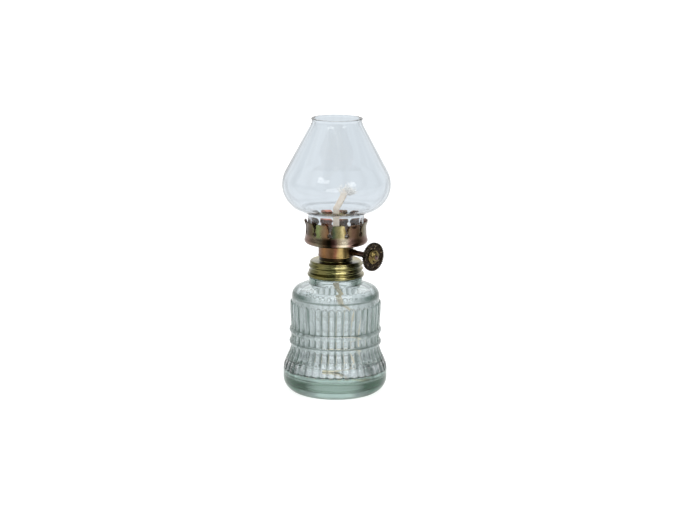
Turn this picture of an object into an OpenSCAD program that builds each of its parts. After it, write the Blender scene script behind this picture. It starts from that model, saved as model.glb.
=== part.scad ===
// Miniature oil lamp: a pressed glass font, a screw-on flat-wick burner and a glass chimney.
// Millimetres, +Z up, origin at the centre of the base. The winding spindle lies along +X.

/* [Font] */
// Height of the glass font to the top of its neck
font_h = 66.4; // [64:0.1:72]
// Radius of the foot
foot_r = 26.4; // [25:0.1:27.5]
// Height of the smooth band round the foot
foot_h = 11.4; // [10:0.1:13]
// Rounding of the foot's lower edge
foot_round = 7.5; // [3:0.1:8]
// Radius of the ribbed waist, measured on the ribs
waist_r = 22.5; // [21.5:0.1:23]
// Height of the middle of the lower bead
lower_bead_z = 25.9; // [24:0.1:28]
// Distance between the middles of the two beads
bead_pitch = 6.1; // [5:0.1:7]
// Height of each bead
bead_h = 2.8; // [2:0.1:3.4]
// How far each bead stands out of the waist
bead_out = 0.9; // [0.5:0.1:1.3]
// Radius of the ribs below the shoulder
rib_top_r = 23; // [22.6:0.1:23.6]
// Height of the smooth band between the ribs and the shoulder
band_h = 3.2; // [2:0.1:5]
// Number of ribs round the font
rib_count = 40; // [24:2:56]
// Depth of the gaps between the ribs
rib_depth = 0.6; // [0.3:0.1:0.9]
// Width of the gaps between the ribs
rib_gap_w = 1.1; // [0.6:0.1:1.6]
// Radius of the smooth band above the ribs
shoulder_r = 22.2; // [21.6:0.1:22.4]
// Height of the shoulder, from where it starts to curve in up to the foot of the neck
shoulder_h = 6.7; // [6:0.1:7.5]
// Rounding of the shoulder
shoulder_round = 5; // [4:0.1:6]
// Height of the neck
neck_h = 10.1; // [9.5:0.1:10.5]
// Radius of the glass ring under the screw collar
neck_ring_r = 13.5; // [13:0.1:14]
// Radius of the bore through the neck
neck_bore_r = 9.4; // [8.4:0.1:10]
// Thickness of the glass wall
font_wall = 3; // [2.4:0.1:3.6]
// Thickness of the glass under the oil
base_t = 8.4; // [6:0.1:9.5]
// Width of the flat ring that the lamp stands on
stand_w = 1.4; // [0.8:0.1:3]
// Depth of the recess inside that ring
recess_d = 1; // [0.5:0.1:2]

/* [Burner] */
// Thickness of the burner's sheet metal
sheet_t = 0.5; // [0.4:0.05:0.6]
// Thickness of the sealing washer on the neck
gasket_t = 0.9; // [0.6:0.1:1.4]
// Radius of the screw collar in the bottom of its thread
collar_r = 13.1; // [12.8:0.1:13.4]
// Height of the screw collar
collar_h = 8.2; // [7.6:0.1:8.4]
// Pitch of the collar's rolled thread
thread_pitch = 2.6; // [2.2:0.1:3]
// Height of the rolled thread out of the collar
thread_out = 0.7; // [0.4:0.1:0.9]
// Radius of the bead rolled round the collar's lower edge
rim_r = 14.4; // [14.2:0.1:14.9]
// Radius of the boss on top of the collar
boss_r = 8.45; // [8:0.05:8.6]
// Height of the boss
boss_h = 2.1; // [1.6:0.1:3]
// Radius of the drum that houses the wick sprockets
drum_r = 8.95; // [8.8:0.05:9.4]
// Height of the drum
drum_h = 7.2; // [6.8:0.1:8]
// Radius of the open way through the boss and the foot of the drum
way_r = 7.3; // [7.1:0.1:7.6]
// Height of the wick tube
tube_h = 21.5; // [19:0.1:24]
// How far the wick tube stands above the gallery floor
tube_out = 4; // [2:0.1:6]

/* [Gallery] */
// Radius of the gallery's wall at its waist
gallery_r = 14.8; // [14.6:0.1:15]
// Height of the gallery to its prong tips
gallery_h = 12.1; // [11:0.1:13.5]
// Radius of the bulge at the foot of the gallery
bulge_r = 15.5; // [15.3:0.1:16]
// Radius at the flared prong tips
tip_r = 15.2; // [15:0.1:15.6]
// Number of spring prongs
prong_count = 11; // [7:1:15]
// Width of the slots between the prongs, just above their round eyes
slot_w = 0.9; // [0.6:0.1:1.6]
// Width of the slots near the prong tips
slot_top_w = 2.6; // [1.8:0.1:3.4]
// Diameter of the round foot of each slot
slot_eye_d = 2.5; // [1.8:0.1:3]
// Height of the slot eyes above the gallery's underside
slot_eye_z = 5.8; // [5:0.1:7]
// Angle of one of the slots from the spindle
slot_turn = -24; // [-32:1:0]
// Number of air holes in the gallery floor
air_hole_count = 12; // [6:1:16]
// Diameter of the air holes
air_hole_d = 2; // [1.5:0.1:2.4]

/* [Spindle and knob] */
// Height of the spindle above the foot of the drum
spindle_up = 2.5; // [2.3:0.1:3.2]
// Distance of the spindle from the middle of the wick
spindle_off = 3.5; // [3.3:0.1:3.6]
// Diameter of the spindle
spindle_d = 2.3; // [2:0.1:2.5]
// Distance from the lamp's axis to the back of the knob
knob_x = 22; // [20:0.1:22.5]
// Diameter of the knob
knob_d = 14.4; // [11:0.1:16]
// Thickness of the knob's rim
knob_t = 1.6; // [1.2:0.1:2]
// Thickness of the knob's web
knob_web_t = 0.8; // [0.6:0.1:1.1]
// Width of the knob's rim
knob_rim_w = 1.3; // [1:0.1:2]
// Number of teeth round the knob
knob_teeth = 44; // [24:2:56]
// Diameter of the domed boss on the knob
knob_boss_d = 7.2; // [5:0.1:8]
// Height of the domed boss
knob_boss_h = 2.1; // [1.4:0.1:2.4]
// Diameter of the bush that the spindle turns in
bush_d = 3.4; // [3:0.1:3.8]
// Number of teeth on each wick sprocket
sprocket_teeth = 12; // [8:1:16]
// Thickness of each wick sprocket
sprocket_t = 0.8; // [0.5:0.1:1]
// Distance between the middles of the two sprockets
sprocket_pitch = 2.2; // [1.8:0.1:2.4]

/* [Wick] */
// Width of the flat wick
wick_w = 4.2; // [3.8:0.1:5]
// Thickness of the wick
wick_t = 1.2; // [1:0.1:1.5]
// Length of wick above its tube
wick_out = 23.5; // [18:0.1:26]
// How far the wick's end leans over
wick_lean = 4.7; // [0:0.1:5.5]

/* [Chimney] */
// Thickness of the chimney's glass
chimney_t = 1.4; // [1:0.1:1.6]
// Radius of the straight foot that the gallery holds
fitter_r = 14.2; // [14:0.05:14.3]
// Radius of the bulb at its widest
bulb_r = 27.4; // [26:0.1:30]
// Rounding of the bulb's widest part
bulb_round = 14; // [12:0.1:15]
// Slope of the cone above the bulb
cone_angle = 28.2; // [26:0.1:31]
// Radius of the lip
lip_r = 12.6; // [11.5:0.1:14]
// Height of the straight lip
lip_h = 2.4; // [1.5:0.1:4]
// How far the bead round the lip stands out
lip_out = 0.3; // [0.1:0.05:0.5]

/* [Clearances] */
// Gap between the glass neck and the collar's thread
thread_clear = 0.3; // [0.2:0.05:0.4]
// Gap between the glass ring and the collar's lower edge
collar_clear = 0.4; // [0.3:0.05:0.8]
// Gap between the prong tips and the middle of the chimney's narrow neck
prong_clear = 2.3; // [1.6:0.1:4]
// Gap round the wick in its tube
wick_clear = 0.3; // [0.2:0.05:0.4]
// Gap between the sprocket teeth and the wick
bite_clear = 0.1; // [0.05:0.05:0.2]
// Gap round the turning spindle
running_clear = 0.05; // [0.02:0.01:0.1]

/* [Hidden] */
$fn = 96;
smooth = 0.01;      // overlap of cutters past the faces that they open
soft_edge = 0.4;    // small bevels on glass and metal

// Heights, from the base up
neck_z = font_h - neck_h;
shoulder_z = neck_z - shoulder_h;
rib_top_z = shoulder_z - band_h;
flare_top = lower_bead_z - bead_h / 2;
upper_bead_z = lower_bead_z + bead_pitch;
bead_r = waist_r + bead_out;
rib_full_z = rib_top_z - 4;
collar_top = font_h + gasket_t + sheet_t;
collar_bottom = collar_top - collar_h;
neck_ring_top = collar_bottom - collar_clear;
drum_z = collar_top + boss_h;
spindle_z = drum_z + spindle_up;
gallery_z = drum_z + drum_h;
seat_z = gallery_z + sheet_t;
tube_top = seat_z + tube_out;
tube_bottom = tube_top - tube_h;
wick_top = tube_top + wick_out;

// The chimney, from its straight foot up: a small rounding out, the bulb, and a cone tangent to it
neck_round = 1.2;
slope = [cos(cone_angle), sin(cone_angle)];
chimney_neck = [fitter_r + neck_round, gallery_z + gallery_h + prong_clear];
bulb = [bulb_r - bulb_round,
    chimney_neck[1] + sqrt((bulb_round + neck_round) ^ 2 - (chimney_neck[0] - bulb_r + bulb_round) ^ 2)];
lip_z = (bulb_round + slope * bulb - slope[0] * lip_r) / slope[1];
chimney_top = lip_z + lip_h;

// Radii and lengths that follow from the sizes above
neck_r = collar_r - sheet_t - thread_clear;
recess_r = foot_r - foot_round - stand_w;
foot_wall = font_wall + 1.5;
cavity_round = 4;
dome_end = 75;      // the shoulder's rounding stops this far round
gap_angle = rib_gap_w / waist_r * 180 / PI;
spindle_r = spindle_d / 2;
stub_r = spindle_r - 0.35;
spindle_end = -drum_r - 0.2;
sprocket_r = spindle_off - wick_t / 2 - bite_clear;
tube_wall = 0.4;
tube_in = [wick_w + 2 * wick_clear, wick_t + 2 * wick_clear];
tube_around = [tube_in[0] + 2 * tube_wall, tube_in[1] + 2 * tube_wall];

// The wick's tail: it leaves the moving stretch, drifts to one side and lies on the font's floor
tail_top = tube_bottom - 3;
tail_floor = base_t + wick_t / 2 + 0.1;
TAIL = [[0, 0, 0], [0.2, 0.2, -3], [0.8, 0.8, -6], [1.9, 1.9, -9], [3.4, 3.5, -12], [5, 5.3, -15],
    [6.4, 6.9, -18.4], [7.4, 8.1, -22], [8, 8.8, -26], [8.2, 9, -30], [7.9, 8.7, -34], [7, 7.8, -37.8],
    [5.6, 6.3, -41], [3.8, 4.4, -43.5], [1.7, 2.4, -45.2], [-0.6, 0.4, -46], [-3, -1.4, -46.3],
    [-5.6, -2.8, -46.3]];

// Points along an arc, from angle a0 to a1
function arc(centre, r, a0, a1, steps) =
    [for (i = [0:steps]) let (a = a0 + (a1 - a0) * i / steps) centre + r * [cos(a), sin(a)]];
// A smooth fall from 1 to 0
function ease(t) = (1 + cos(180 * t)) / 2;
function unit(v) = v / norm(v);
// The flare from the foot up to the waist, set out by d from the glass surface
function flare(low_r, high_r, d, steps = 6) =
    [for (i = [0:steps]) [high_r + (low_r - high_r) * ease(i / steps) + d,
        foot_h + (flare_top - foot_h) * i / steps]];
function upper_ribs(d) = [[waist_r + d, upper_bead_z + bead_h / 2], [rib_top_r + d, rib_full_z],
    [rib_top_r + d, rib_top_z]];
function ribs(d) = concat(flare(foot_r, waist_r, d), upper_ribs(d));
function backwards(list) = [for (i = [len(list) - 1:-1:0]) list[i]];

// A flat section with round ends
module oblong(size) {
    square([size[0] - size[1], size[1]], center = true);
    for (side = [-1, 1]) translate([side * (size[0] - size[1]) / 2, 0]) circle(d = size[1], $fn = 32);
}

// A wheel's outline with pointed teeth
module toothed(r, root_r, teeth) {
    polygon([for (i = [0:2 * teeth - 1]) let (a = 180 * i / teeth)
        (i % 2 == 0 ? r : root_r) * [cos(a), sin(a)]]);
}

// Turns what is drawn round Z so that it lies along the spindle
module on_spindle() {
    translate([0, spindle_off, spindle_z]) rotate([90, 0, 90]) children();
}

// A flat strip swept along points; its width turns from the first direction to the last
module strip(points, width, thick, first, last) {
    n = len(points);
    bevel = thick / 3;
    section = [[-width / 2, -thick / 2 + bevel], [-width / 2 + bevel, -thick / 2],
        [width / 2 - bevel, -thick / 2], [width / 2, -thick / 2 + bevel],
        [width / 2, thick / 2 - bevel], [width / 2 - bevel, thick / 2],
        [-width / 2 + bevel, thick / 2], [-width / 2, thick / 2 - bevel]];
    m = len(section);
    ring = [for (i = [0:n - 1])
        let (along = unit(points[min(i + 1, n - 1)] - points[max(i - 1, 0)]),
            wish = first + (last - first) * min(1, 2 * i / (n - 1)),
            across = unit(wish - (wish * along) * along),
            up = cross(along, across))
        for (p = section) points[i] + p[0] * across + p[1] * up];
    sides = [for (i = [0:n - 2]) for (j = [0:m - 1]) let (k = (j + 1) % m, a = i * m, b = a + m)
        each [[a + j, b + j, b + k], [a + j, b + k, a + k]]];
    ends = [[for (j = [0:m - 1]) j], [for (j = [m - 1:-1:0]) (n - 1) * m + j]];
    polyhedron(ring, concat(sides, ends));
}

// The gaps between the ribs: thin slices that start above the foot and run out over the ribs' tops
module rib_gaps() {
    start = [[foot_r + 1, foot_h + 0.3], [foot_r - rib_depth, foot_h + 1]];
    end = [[rib_top_r - rib_depth, rib_top_z + 1], [rib_top_r + 1, rib_top_z + 1]];
    bed = ribs(-rib_depth);
    outline = concat(start, [for (i = [1:len(bed) - 2]) bed[i]], end,
        [for (i = [len(bed) - 2:-1:1]) ribs(1)[i]]);
    for (i = [0:rib_count - 1]) rotate(i * 360 / rib_count - gap_angle / 2)
        rotate_extrude(angle = gap_angle) polygon(outline);
}

// A bead's section: a rounded ring that reaches into the wall
function bead(z) = concat([[bead_r - bead_h, z - bead_h / 4]],
    arc([bead_r - bead_h / 2, z], bead_h / 2, -90, 90, 6), [[bead_r - bead_h, z + bead_h / 4]]);

module font() {
    dome = [shoulder_r - shoulder_round, shoulder_z];
    outside = concat(
        [[0, recess_d], [recess_r - recess_d, recess_d], [recess_r, 0]],
        arc([foot_r - foot_round, foot_round], foot_round, -90, 0, 6),
        ribs(0),
        [[shoulder_r, rib_top_z + soft_edge]],
        arc(dome, shoulder_round, 0, dome_end, 5),
        [[neck_ring_r, neck_z], [neck_ring_r, neck_ring_top - soft_edge],
            [neck_ring_r - soft_edge, neck_ring_top], [neck_r, neck_ring_top],
            [neck_r, font_h - soft_edge], [neck_r - soft_edge, font_h], [0, font_h]]);
    cavity_foot_r = foot_r - foot_wall;
    inside = concat(
        [[0, base_t]],
        arc([cavity_foot_r - cavity_round, base_t + cavity_round], cavity_round, -90, 0, 4),
        [[cavity_foot_r, foot_h + cavity_round], [waist_r - font_wall, flare_top],
            [shoulder_r - font_wall, shoulder_z]],
        arc(dome, shoulder_round - font_wall, dome_end / 5, dome_end, 3),
        [[neck_bore_r, neck_z - font_wall / 2], [neck_bore_r, font_h + 1], [0, font_h + 1]]);
    color([0.78, 0.87, 0.84, 0.6]) difference() {
        union() {
            difference() {
                rotate_extrude() polygon(outside);
                rib_gaps();
            }
            for (z = [lower_bead_z, upper_bead_z])
                rotate_extrude() polygon(bead(z));
        }
        rotate_extrude() polygon(inside);
    }
}

module neck_gasket() {
    color("dimgray") translate([0, 0, font_h]) difference() {
        cylinder(r = neck_r - soft_edge, h = gasket_t);
        translate([0, 0, -1]) cylinder(r = neck_bore_r, h = gasket_t + 2);
    }
}

module screw_collar() {
    // The thread is two rolled waves between the top edge and the beaded rim, set in by d
    waves = 2;
    wave_bottom = collar_top - 1 - waves * thread_pitch;
    rim_round = 1;
    function skin(d) = concat(
        arc([rim_r - rim_round, collar_bottom + rim_round], rim_round - d, -90, 60, 5),
        [for (i = [0:6 * waves]) [collar_r - d + thread_out * (1 - cos(60 * i)) / 2,
            wave_bottom + thread_pitch * i / 6]],
        arc([collar_r - 1, collar_top - 1], 1 - d, 0, 90, 3),
        [[boss_r - d, collar_top - d]]);
    boss = [[boss_r, drum_z], [way_r, drum_z], [way_r, drum_z - sheet_t],
        [boss_r - sheet_t, drum_z - sheet_t]];
    color([0.55, 0.53, 0.3]) rotate_extrude()
        polygon(concat(skin(0), boss, backwards(skin(sheet_t))));
}

module burner_drum() {
    color([0.72, 0.5, 0.28]) difference() {
        translate([0, 0, drum_z]) cylinder(r = drum_r, h = drum_h);
        translate([0, 0, drum_z + sheet_t]) cylinder(r = drum_r - sheet_t, h = drum_h);
        translate([0, 0, drum_z - 1]) cylinder(r = way_r, h = drum_h);
        // hole for the bush, and the bearing hole in the far wall
        on_spindle() cylinder(d = bush_d, h = 2 * drum_r);
        on_spindle() translate([0, 0, -2 * drum_r]) cylinder(r = spindle_r + running_clear, h = 2 * drum_r);
    }
}

// The slot between two prongs, above its round eye: it widens to the rounded prong tips
module slot_outline() {
    tip_round = 1.2;
    right = [[slot_w / 2, slot_eye_z], [slot_w / 2, slot_eye_z + 0.8 * slot_eye_d],
        [slot_top_w / 2, gallery_h - tip_round],
        [slot_top_w / 2 + 0.3 * tip_round, gallery_h - 0.3 * tip_round],
        [slot_top_w / 2 + 0.8 * tip_round, gallery_h + smooth], [slot_top_w / 2 + tip_round, gallery_h + 1]];
    polygon(concat(right, [for (p = backwards(right)) [-p[0], p[1]]]));
}

module gallery() {
    corner = 1.2;
    function wall(d) = concat(
        arc([bulge_r - corner, corner], corner - d, -90, 0, 4),
        [[gallery_r + 0.15 - d, gallery_h * 0.3], [gallery_r - d, gallery_h * 0.55],
            [gallery_r + 0.1 - d, gallery_h * 0.8], [tip_r - d, gallery_h]]);
    color([0.6, 0.38, 0.25]) translate([0, 0, gallery_z]) difference() {
        rotate_extrude() polygon(concat([[0, 0]], wall(0), backwards(wall(sheet_t)), [[0, sheet_t]]));
        for (i = [0:prong_count - 1]) rotate(slot_turn + i * 360 / prong_count)
            translate([fitter_r - 2, 0, 0]) rotate([90, 0, 90]) {
                linear_extrude(5) slot_outline();
                translate([0, slot_eye_z, 0]) cylinder(d = slot_eye_d, h = 5, $fn = 32);
            }
        for (i = [0:air_hole_count - 1]) rotate((i + 0.5) * 360 / air_hole_count)
            translate([(drum_r + fitter_r - chimney_t) / 2, 0, -1]) cylinder(d = air_hole_d, h = 3);
        translate([0, 0, -1]) linear_extrude(3) oblong(tube_around);
    }
}

module wick_tube() {
    // The sprockets reach the wick through a window
    reach = sqrt(sprocket_r ^ 2 - (spindle_off - tube_around[1] / 2) ^ 2);
    window = [sprocket_pitch + sprocket_t + 0.6, 2 * reach + 1];
    color([0.7, 0.6, 0.35]) difference() {
        translate([0, 0, tube_bottom]) linear_extrude(tube_h) oblong(tube_around);
        translate([0, 0, tube_bottom - 1]) linear_extrude(tube_h + 2) oblong(tube_in);
        translate([-window[0] / 2, 0, spindle_z - window[1] / 2]) cube([window[0], spindle_off, window[1]]);
    }
}

module spindle_bush() {
    wall_x = sqrt(drum_r ^ 2 - spindle_off ^ 2);
    inner_x = wall_x - 1;
    color([0.75, 0.6, 0.3]) on_spindle() difference() {
        translate([0, 0, inner_x]) cylinder(d = bush_d, h = 2.6);
        cylinder(r = spindle_r + running_clear, h = 2 * drum_r);
    }
}

module spindle() {
    stub_end = knob_x + knob_web_t + knob_boss_h;
    color([0.3, 0.22, 0.2]) on_spindle() rotate_extrude()
        polygon([[0, spindle_end], [spindle_r - 0.2, spindle_end], [spindle_r, spindle_end + 0.2],
            [spindle_r, knob_x], [stub_r, knob_x], [stub_r, stub_end], [spindle_r, stub_end],
            [spindle_r * 0.9, stub_end + 0.35], [spindle_r * 0.4, stub_end + 0.6], [0, stub_end + 0.6]]);
}

module wick_sprockets() {
    color([0.6, 0.55, 0.45]) for (side = [-1, 1]) on_spindle()
        translate([0, 0, side * sprocket_pitch / 2 - sprocket_t / 2]) linear_extrude(sprocket_t)
        difference() {
            toothed(sprocket_r, sprocket_r * 0.74, sprocket_teeth);
            circle(r = spindle_r);
        }
}

module knob() {
    knob_r = knob_d / 2;
    color([0.2, 0.17, 0.15]) on_spindle() translate([0, 0, knob_x]) difference() {
        linear_extrude(knob_t) toothed(knob_r, knob_r - 0.45, knob_teeth);
        translate([0, 0, knob_web_t]) cylinder(r = knob_r - knob_rim_w, h = knob_t);
        translate([0, 0, -1]) cylinder(r = stub_r + running_clear, h = knob_t + 2);
    }
}

module knob_boss() {
    r = knob_boss_d / 2;
    bore = stub_r + running_clear;
    color([0.75, 0.62, 0.35]) on_spindle() translate([0, 0, knob_x + knob_web_t]) rotate_extrude()
        polygon([[bore, 0], [r, 0], [r, 0.25 * knob_boss_h], [0.82 * r, 0.45 * knob_boss_h],
            [0.62 * r, 0.5 * knob_boss_h], [0.5 * r, 0.85 * knob_boss_h], [0.38 * r, knob_boss_h],
            [bore, knob_boss_h]]);
}

module chimney() {
    under = atan2(chimney_neck[1] - bulb[1], chimney_neck[0] - bulb[0]);
    function skin(d) = concat(
        [[fitter_r - d, seat_z]],
        backwards(arc(chimney_neck, neck_round + d, under + 180, 180, 4)),
        backwards(arc(bulb, bulb_round - d, cone_angle, under, 16)),
        [[lip_r - d, lip_z + d * tan(cone_angle / 2)]]);
    lip_bead = lip_h / 8;
    lip = [[lip_r, chimney_top - 3 * lip_bead], [lip_r + lip_out, chimney_top - 2 * lip_bead],
        [lip_r + lip_out, chimney_top - lip_bead], [lip_r, chimney_top],
        [lip_r - chimney_t, chimney_top]];
    color([0.85, 0.9, 0.93, 0.35]) rotate_extrude()
        polygon(concat(skin(0), lip, backwards(skin(chimney_t))));
}

module wick() {
    // Straight through the tube and a little above it, then leaning over towards +X and +Y
    straight_top = tube_top + 0.45 * wick_out;
    steps = 6;
    bend = 1.1;
    lean = wick_lean / sqrt(2);
    path = concat([[0, 0, tail_top], [0, 0, straight_top - 4]],
        [for (i = [0:steps]) let (t = i / steps) [lean * t ^ bend, lean * t ^ bend,
            straight_top + (wick_top - straight_top) * t]]);
    color([0.9, 0.86, 0.78]) strip(path, wick_w, wick_t, [1, 0, 0], [1, 0, 0]);
}

module wick_tail() {
    drop = tail_top - tail_floor;
    scale_z = drop / -TAIL[len(TAIL) - 1][2];
    path = [for (p = TAIL) [p[0], p[1], tail_top + p[2] * scale_z]];
    color([0.88, 0.84, 0.76]) strip(path, wick_w, wick_t, [1, 0, 0], [0.75, -0.65, 0]);
}

font();
neck_gasket();
screw_collar();
burner_drum();
gallery();
wick_tube();
spindle_bush();
spindle();
wick_sprockets();
knob();
knob_boss();
chimney();
wick();
wick_tail();
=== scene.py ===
"""The dressed miniature oil lamp: glass font, plated burner, woven wick and glass chimney.

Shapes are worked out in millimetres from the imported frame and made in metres.
"""

import math
import random

import bmesh
import bpy
from mathutils import Matrix, Vector, noise


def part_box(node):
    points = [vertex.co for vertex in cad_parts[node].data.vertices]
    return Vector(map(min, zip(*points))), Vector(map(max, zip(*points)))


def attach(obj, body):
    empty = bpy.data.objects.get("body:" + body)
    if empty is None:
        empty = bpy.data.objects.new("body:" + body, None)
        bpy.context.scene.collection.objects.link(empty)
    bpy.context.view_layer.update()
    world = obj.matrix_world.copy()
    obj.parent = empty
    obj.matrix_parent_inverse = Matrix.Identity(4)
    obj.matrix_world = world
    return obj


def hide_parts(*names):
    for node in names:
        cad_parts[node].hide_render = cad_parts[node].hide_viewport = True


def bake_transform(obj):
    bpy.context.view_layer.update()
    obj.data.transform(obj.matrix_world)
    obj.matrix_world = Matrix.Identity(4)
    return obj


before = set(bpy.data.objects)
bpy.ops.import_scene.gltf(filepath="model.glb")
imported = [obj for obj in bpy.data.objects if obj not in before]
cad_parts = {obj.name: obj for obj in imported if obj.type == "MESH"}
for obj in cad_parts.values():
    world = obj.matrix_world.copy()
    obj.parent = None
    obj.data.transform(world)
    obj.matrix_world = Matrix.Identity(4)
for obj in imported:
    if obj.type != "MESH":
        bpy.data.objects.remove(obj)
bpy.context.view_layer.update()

TAU = 2 * math.pi
MM = 0.001
AZIMUTH = math.radians(45)  # of the photographed view, from -Y towards +X
FACING = AZIMUTH - TAU / 4  # the same direction, from +X towards +Y


# ---------------------------------------------------------------- sizes, in millimetres
def mm_box(name):
    """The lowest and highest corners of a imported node."""
    low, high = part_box(name)
    return low / MM, high / MM


font_high = mm_box("font")[1]
collar_low, collar_high = mm_box("screw_collar")
drum_high = mm_box("burner_drum")[1]
gallery_low, gallery_high = mm_box("gallery")
tube_low, tube_high = mm_box("wick_tube")
bush_high = mm_box("spindle_bush")[1]
spindle_low, spindle_high = mm_box("spindle")
knob_low, knob_high = mm_box("knob")
boss_low, boss_high = mm_box("knob_boss")
wick_low, wick_high = mm_box("wick")
chimney_low, chimney_high = mm_box("chimney")

# Glass font
font_h = font_high.z
foot_r = font_high.x
foot_h, foot_round = 11.4, 7.5
recess_r, recess_d = foot_r - foot_round - 1.4, 1.0
waist_r = 22.5
lower_bead_z, bead_pitch, bead_h, bead_out = 25.9, 6.1, 2.8, 0.9
upper_bead_z = lower_bead_z + bead_pitch
flare_top = lower_bead_z - bead_h / 2
rib_top_r, rib_top_z, rib_count, rib_depth = 23.0, 46.4, 40, 0.6
shoulder_r, shoulder_z, shoulder_round = 22.2, 49.6, 5.0
neck_r, neck_bore_r, neck_z = 12.3, 9.4, 56.3
neck_ring_r, neck_ring_top = 13.5, collar_low.z - 0.4
font_wall, foot_wall, base_t, cavity_round = 3.0, 4.5, 8.4, 4.0

# Burner
collar_bottom, drum_z = collar_low.z, collar_high.z
collar_boss_h = 2.1
collar_top = drum_z - collar_boss_h
collar_r, rim_r, thread_pitch, thread_out = 13.1, collar_high.x, 2.6, 0.7
crest_z = collar_bottom + 2.85  # a crest of the thread, between -X and -Y
collar_boss_r, throat_r, drum_r, sheet_t = 8.45, 7.3, drum_high.y, 0.5
gallery_z, gallery_top = gallery_low.z, gallery_high.z
gallery_h = gallery_top - gallery_z
prong_count, slot_turn = 11, math.radians(-24)
spindle_y = (spindle_low.y + spindle_high.y) / 2
spindle_z = (spindle_low.z + spindle_high.z) / 2
knob_r, knob_teeth, knob_bore_r = (knob_high.z - knob_low.z) / 2, 44, 0.85
sleeve_r, sleeve_bore_r = 1.42, 1.0

# Chimney
seat_z, chimney_top = chimney_low.z, chimney_high.z
bulb_r, bulb_round, cone_angle = chimney_high.x, 14.0, math.radians(28.2)
chimney_t, chimney_neck_t, chimney_neck_round = 1.4, 0.8, 2.0
fitter_r, lip_r, lip_h = 14.2, 12.6, 2.4

# Wick
wick_w, wick_t, wick_lean, wick_out = 4.2, 1.2, 4.7, 23.5


# ---------------------------------------------------------------- shape helpers
def smooth(t):
    """Eases from 0 to 1 as t does."""
    t = min(1.0, max(0.0, t))
    return t * t * (3 - 2 * t)


def soft_max(a, b, width):
    """The larger of two, with a fillet where they meet."""
    h = max(width - abs(a - b), 0) / width
    return max(a, b) + h * h * width / 4


def arc(centre, r, a0, a1, steps):
    """Points along an arc, angles in degrees."""
    points = []
    for i in range(steps + 1):
        a = math.radians(a0 + (a1 - a0) * i / steps)
        points.append((centre[0] + r * math.cos(a), centre[1] + r * math.sin(a)))
    return points


def rounded(points, steps=4):
    """Rounds the corners of a closed outline of (x, y, rounding) points."""
    out = []
    for i, p in enumerate(points):
        here = Vector(p[:2])
        if len(p) < 3:
            out.append(tuple(here))
            continue
        before = Vector(points[i - 1][:2]) - here
        after = Vector(points[(i + 1) % len(points)][:2]) - here
        reach = min(p[2], 0.48 * before.length, 0.48 * after.length)
        start = here + before.normalized() * reach
        end = here + after.normalized() * reach
        for s in range(steps + 1):
            t = s / steps
            out.append(tuple(start * (1 - t) ** 2 + here * 2 * t * (1 - t) + end * t * t))
    return out


def along(points, step):
    """The same line with no stretch longer than step."""
    out = [points[0]]
    for a, b in zip(points, points[1:]):
        n = max(1, math.ceil(math.dist(a, b) / step))
        out += [tuple(x + (y - x) * i / n for x, y in zip(a, b)) for i in range(1, n + 1)]
    return out


def curve_through(points, per_span):
    """A smooth line through points (Catmull-Rom)."""
    p = [Vector(q) for q in points]
    p = [2 * p[0] - p[1], *p, 2 * p[-1] - p[-2]]
    out = []
    for i in range(1, len(p) - 2):
        for s in range(per_span):
            t = s / per_span
            out.append(0.5 * (2 * p[i] + (p[i + 1] - p[i - 1]) * t
                              + (2 * p[i - 1] - 5 * p[i] + 4 * p[i + 1] - p[i + 2]) * t * t
                              + (3 * p[i] - p[i - 1] - 3 * p[i + 1] + p[i + 2]) * t ** 3))
    return [*out, p[-2]]


def lathe(profile, segments, shape=None, closed=True):
    """Turns (radius, height) points round Z. shape(radius, height, angle) moves a point."""
    verts, rings, faces = [], [], []
    for r, z in profile:
        if r < 1e-6:
            rings.append([len(verts)])
            verts.append((0, 0, z))
            continue
        rings.append(range(len(verts), len(verts) + segments))
        for k in range(segments):
            a = TAU * k / segments
            rr, zz = shape(r, z, a) if shape else (r, z)
            verts.append((rr * math.cos(a), rr * math.sin(a), zz))
    pairs = list(zip(rings, rings[1:])) + ([(rings[-1], rings[0])] if closed else [])
    for low, high in pairs:
        for k in range(segments):
            n = (k + 1) % segments
            if len(low) == 1:
                faces.append((low[0], high[n], high[k]))
            elif len(high) == 1:
                faces.append((low[k], low[n], high[0]))
            else:
                faces.append((low[k], low[n], high[n], high[k]))
    return verts, faces


def make(name, shape, mat, sharp=35):
    """A mesh object from (points, faces) in millimetres, smooth except at sharp edges."""
    verts, faces = shape
    mesh = bpy.data.meshes.new(name)
    mesh.from_pydata([Vector(v) * MM for v in verts], [], faces)
    build = bmesh.new()
    build.from_mesh(mesh)
    bmesh.ops.remove_doubles(build, verts=build.verts, dist=1e-7)
    bmesh.ops.recalc_face_normals(build, faces=build.faces)
    build.to_mesh(mesh)
    build.free()
    mesh.shade_smooth()
    mesh.set_sharp_from_angle(angle=math.radians(sharp))
    mesh.materials.append(mat)
    piece = bpy.data.objects.new(name, mesh)
    bpy.context.scene.collection.objects.link(piece)
    return piece


def dress(piece, body, slot, *nodes):
    """The piece rides on a body and stands for CAD nodes; slot is not used."""
    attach(piece, body)
    if nodes:
        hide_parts(*nodes)
    return piece


def on_spindle(shape, x):
    """Turns what was made round Z so that it lies along the spindle."""
    verts, faces = shape
    return [(v[2] + x, v[0] + spindle_y, v[1] + spindle_z) for v in verts], faces


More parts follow.
